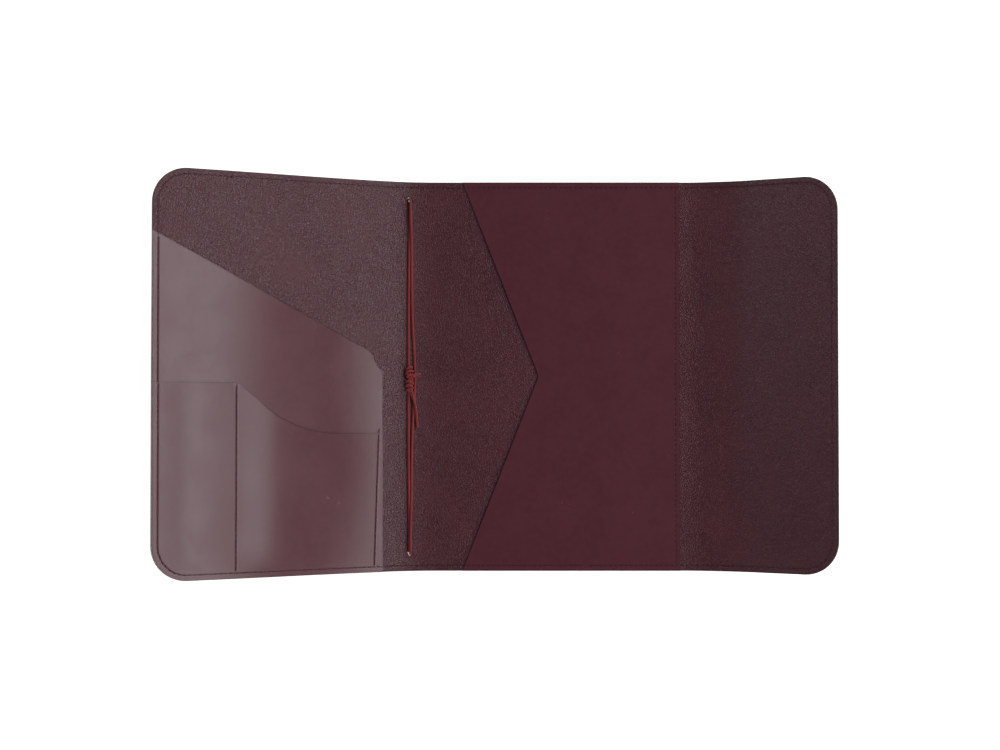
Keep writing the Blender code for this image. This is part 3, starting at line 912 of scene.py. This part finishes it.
def stitches(name, lines, surface, material, below=False):
    """Slanting stitches that lie in a seam's groove, on the inside or the outside."""
    parts = []
    for line in lines:
        for s, y, ahead_s, ahead_y in along(line, STITCH_PITCH):
            lean = math.radians(9 if below else -9) + random.uniform(-0.03, 0.03)
            run_s = ahead_s * math.cos(lean) - ahead_y * math.sin(lean)
            run_y = ahead_s * math.sin(lean) + ahead_y * math.cos(lean)
            share = np.array([-0.5, -0.43, -0.25, 0.0, 0.25, 0.43, 0.5])
            depth = np.array([-0.42, -0.12, 0.06, 0.10, 0.06, -0.12, -0.42])
            s_run = s + run_s * STITCH_LENGTH * share
            y_run = y + run_y * STITCH_LENGTH * share
            height = surface(np.column_stack([s_run, y_run]))
            height = height + (-depth if below else depth)
            parts.append(tube_mesh(place(s_run, y_run, height), 0.00027, 6))
    return merged(name, parts, material)


def inner_surface(points):
    """Top of whatever lies on the lining, in the stitches' groove."""
    heights = np.zeros(len(points))
    for outline, top in ((document_outline(), document_top), (card_outline(), card_top),
                         (notebook_outline(), notebook_top)):
        covered = inside(points, [outline])
        if covered.any():
            heights = np.where(covered, top(points), heights)
    return heights - GROOVE_DEPTH


def make_stitches(material):
    """Seams round the edge and on the pockets, seen from the inside and the outside."""
    outer = level(COVER_BOTTOM + GROOVE_DEPTH)
    stands_for = {
        "front": ["edge_thread_front"],
        "spine": ["edge_thread_spine_head", "edge_thread_spine_foot",
                  "edge_thread_back_head", "edge_thread_back_foot"],
        "back": ["edge_thread_fore_edge_head", "edge_thread_fore_edge_foot"],
        "flap": ["edge_thread_flap"],
    }
    for part, (a, b, first, second, zone) in WRAP.items():
        lines = edge_lines(SEAM_MARGIN, a, b)
        inner = stitches("edge_stitches_" + part, lines, inner_surface, material)
        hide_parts(*stands_for[part])
        for piece in (inner, stitches("outer_edge_stitches_" + part, lines, outer, material, True)):
            rides_across(piece)
    pocket_seams = (
        ("card_divider_thread", DIVIDER_SEAM, "front_panel"),
        ("front_pocket_side_thread", SIDE_SEAM, "front_panel"),
        ("notebook_pocket_side_thread", NOTEBOOK_SIDE_SEAM, "back_panel"),
    )
    for node, line, body in pocket_seams:
        name = node.replace("thread", "stitches")
        inner = stitches(name, [line], inner_surface, material)
        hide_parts(node)
        for piece in (inner, stitches("outer_" + name, [line], outer, material, True)):
            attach(piece, body)


# ---------------------------------------------------------------- elastic cord

CORD_REST = CORD_RADIUS + 0.08
CORD_UNDER = COVER_BOTTOM - CORD_RADIUS - 0.01
CORD_STACKED = CORD_REST + 2 * CORD_RADIUS + 0.1
NEAR_HOLE = 103.3
FAR_HOLE = 104.85


def on_cord_line(points):
    """Points (across, along, above), in millimetres from the cord line, in the frame."""
    across, reach, above = np.array(points, float).T
    return place(CORD_LINE + across, reach, above)


def hole_pass(side, near, bend_in, bend_out, across):
    """A strand's way through a hole, from the inside of the case to the outside."""
    rise = CORD_STACKED - bend_in
    profile = []
    for angle in (0, 45, 90):
        turn = math.radians(angle)
        profile.append((near - bend_in + bend_in * math.sin(turn), bend_in * math.cos(turn) + rise))
    for angle in (90, 135, 180):
        turn = math.radians(angle)
        profile.append((near - bend_out + bend_out * math.sin(turn),
                        bend_out * math.cos(turn) + COVER_BOTTOM))
    return [(offset, side * reach, above) for offset, (reach, above) in zip(across, profile)]


def make_elastic(material):
    """Two turns of cord through the holes, tied inside, with two cut tails."""
    rest, under, stacked = CORD_REST, CORD_UNDER, CORD_STACKED
    bend = CORD_RADIUS + 0.2

    def near_pass(side, across):
        points = hole_pass(side, NEAR_HOLE, bend, bend, across)
        return [(x, y, min(z, rest)) for x, y, z in points]

    def far_pass(side, across):
        return hole_pass(side, FAR_HOLE, bend, bend, across)

    free = [(2.95, 4.0, rest), (2.95, -7.0, rest), (2.5, -15.0, rest), (1.9, -25.0, rest),
            (1.3, -40.0, rest), (1.0, -60.0, rest), (0.95, -70.0, 1.1), (0.5, -85.0, 2.0),
            (0.2, -98.0, stacked)]
    route = [(-0.6, 3.0, 1.6), (-0.8, 6.4, rest + 0.2), (-0.85, 12.0, rest), (-0.85, 40.0, rest),
             (-0.5, 75.0, rest), (0.1, 97.0, rest)]
    route += near_pass(1, (0.2, 0.3, 0.45, 0.45, 0.4, 0.3))
    route += [(-0.1, 98.0, under), (-0.1, -97.0, under), (0.8, -101.0, under)]
    route += reversed(far_pass(-1, (0.3, 0.35, 0.4, 0.5, 0.8, 0.95)))
    route += reversed(free)
    route += [(x, -y, z) for x, y, z in free[2:-1]] + [(0.0, 98.0, stacked)]
    route += far_pass(1, (-0.1, -0.2, -0.3, -0.6, -0.8, -1.1))
    route += [(-1.9, 100.5, under), (-1.9, -98.0, under)]
    route += reversed(near_pass(-1, (-0.3, -0.4, -0.5, -0.5, -0.8, -1.1)))
    route += [(-0.2, -98.0, rest), (-0.5, -75.0, rest), (-0.85, -40.0, rest),
              (-0.85, -14.0, rest), (-0.8, -9.2, rest + 0.2), (-0.6, -5.5, 1.6)]
    short_tail = [(0.4, 0.4, 3.0), (2.0, 0.5, 3.35), (2.75, 0.7, 3.1), (4.5, 0.9, 3.2),
                  (6.4, 1.5, 3.3)]
    long_tail = [(0.0, -7.0, 2.9), (0.9, -9.2, 2.9), (1.8, -12.9, 2.75), (2.8, -16.5, 2.5),
                 (3.5, -20.0, 1.9), (4.0, -24.0, 1.2), (4.6, -30.7, 0.95)]
    cords = {"elastic_cord": route, "elastic_tail_short": short_tail,
             "elastic_tail_long": long_tail}
    for node, points in cords.items():
        line = curve_through(on_cord_line(points), 0.0006)
        piece = merged(node + "_braid", [tube_mesh(line, CORD_RADIUS / 1000, 12)], material)
        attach(piece, "spine")
        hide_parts(node)
    make_knot(material)


def make_knot(material):
    """Two overhand knots drawn together, each wrapped round both strands."""
    parts = []
    wraps = (
        (4.6, -0.6, 2.4, 1, [(-0.8, 6.0, 1.2)], [(1.6, -0.4, 3.1), (2.6, 0.4, 3.3)]),
        (-1.9, -8.2, 2.6, -1, [(1.5, -1.0, 2.6)], [(0.6, -8.9, 3.0), (1.0, -9.9, 2.9)]),
    )
    for start, end, turns, hand, lead_in, lead_out in wraps:
        count = round(turns * 10)
        coil = []
        for i in range(count + 1):
            u = i / count
            angle = hand * 2 * math.pi * turns * u + 0.6
            swell = 0.85 + 0.25 * math.sin(math.pi * u)
            lean = 0.9 * math.sin(angle)
            coil.append((-0.45 + 1.75 * swell * math.cos(angle), start + (end - start) * u + lean,
                         2.1 + 1.15 * swell * math.sin(angle)))
        line = curve_through(on_cord_line(lead_in + coil + lead_out), 0.0004)
        parts.append(tube_mesh(line, CORD_RADIUS / 1000, 12))
    middle = [(-0.7, 4.5, 2.0), (-0.45, -1.5, 2.1), (-0.6, -8.0, 2.0)]
    core = curve_through(on_cord_line(middle), 0.0005)
    parts.append(tube_mesh(core, 0.0009, 10))
    knot = merged("elastic_knot_wraps", parts, material)
    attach(knot, "spine")
    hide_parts("elastic_knot")


# ---------------------------------------------------------------- assembly

def make_floor_material():
    """Matte white paper."""
    n = Nodes("floor_paper", 0.9, 0.1)
    n.shader.inputs["Emission Color"].default_value = (1.0, 1.0, 1.0, 1.0)
    n.shader.inputs["Emission Strength"].default_value = 0.75
    place_node = n.tree.nodes.new("ShaderNodeTexCoord")
    tone = n.noise(place_node.outputs["Object"], 3.0, 2.0)
    colour = n.mix(n.step(tone, 0.3, 0.7), (0.90, 0.90, 0.90), (0.93, 0.93, 0.93))
    return n.finish(colour, n.bump(tone, 0.0001, 0.05))


make_camera()
make_studio(make_floor_material())
make_elastic(elastic_material("braided_elastic", (0.12, 0.006, 0.007), (0.27, 0.013, 0.015)))
# The third colour given to each grained leather is its painted grey highlight.
make_wrap(
    grained_leather("cover_grain", (0.052, 0.0095, 0.0165), (0.068, 0.0125, 0.0215),
                    (0.090, 0.024, 0.034), 0.0008, 0.00006, 0.5, 0.45),
    grained_leather("lining_grain", (0.057, 0.0096, 0.0172), (0.072, 0.0124, 0.0220),
                    (0.105, 0.034, 0.045), 0.00085, 0.00014, 0.29, 0.42))
make_pockets(smooth_leather("pocket_hide", (0.073, 0.0118, 0.0218), (0.080, 0.0132, 0.0240),
                            0.245, 0.5))
make_stitches(thread_material("seam_thread", (0.024, 0.0025, 0.004), (0.060, 0.006, 0.010)))
